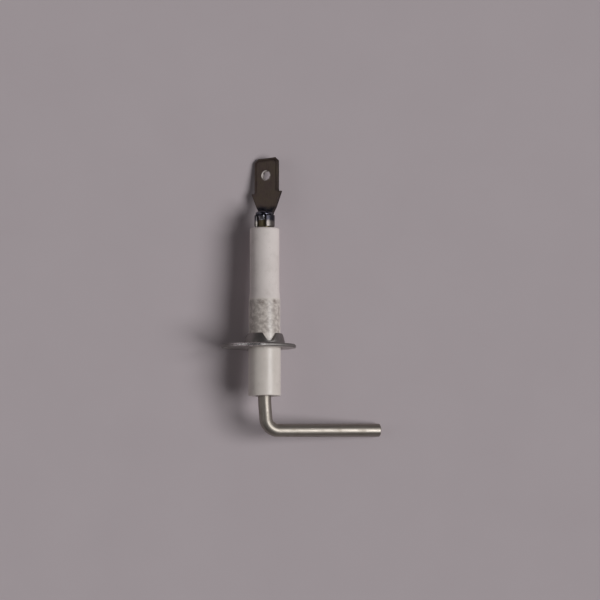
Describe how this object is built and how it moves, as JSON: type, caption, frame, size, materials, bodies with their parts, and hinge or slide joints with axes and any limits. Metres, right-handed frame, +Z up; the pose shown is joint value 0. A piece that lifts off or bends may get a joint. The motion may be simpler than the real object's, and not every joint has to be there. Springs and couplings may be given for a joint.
{
  "type": "flame sensor probe",
  "caption": "Flame sensor probe: a bent metal electrode rod in a stepped white ceramic tube, with a push-on off-centre flange and a flat tab terminal.",
  "frame": {"origin": "on the ceramic tube's axis, in the plane of the flange's seat face (the face towards the burner end)", "axes": "the loose probe as it lies on a bench: +Y along the tube from the seat towards the terminal (the tube's axis falls 4 degrees towards +Y), +X the side of the bent leg, +Z up"},
  "size_m": [0.0368, 0.0642, 0.0172],
  "materials": {
    "ceramic_insulator": "white alumina, glazed from the burner end to the taper and bare matte above it",
    "electrode_rod": "drawn heat-resisting alloy wire, warm grey, fine lines along its length",
    "cement": "matte grey-buff refractory cement",
    "mounting_flange": "stamped plated steel, satin, with a rounded bright rim",
    "terminal_tab": "rolled strip, darkened brown-grey, coined edges",
    "weld_nugget": "glossy heat-blued weld metal"
  },
  "bodies": {
    "root": {"ceramic_insulator": "ceramic_insulator", "electrode_rod": "electrode_rod", "upper_cement": "cement", "lower_cement": "cement", "mounting_flange": "mounting_flange", "terminal_tab": "terminal_tab", "weld_nugget": "weld_nugget"}
  },
  "joints": []
}
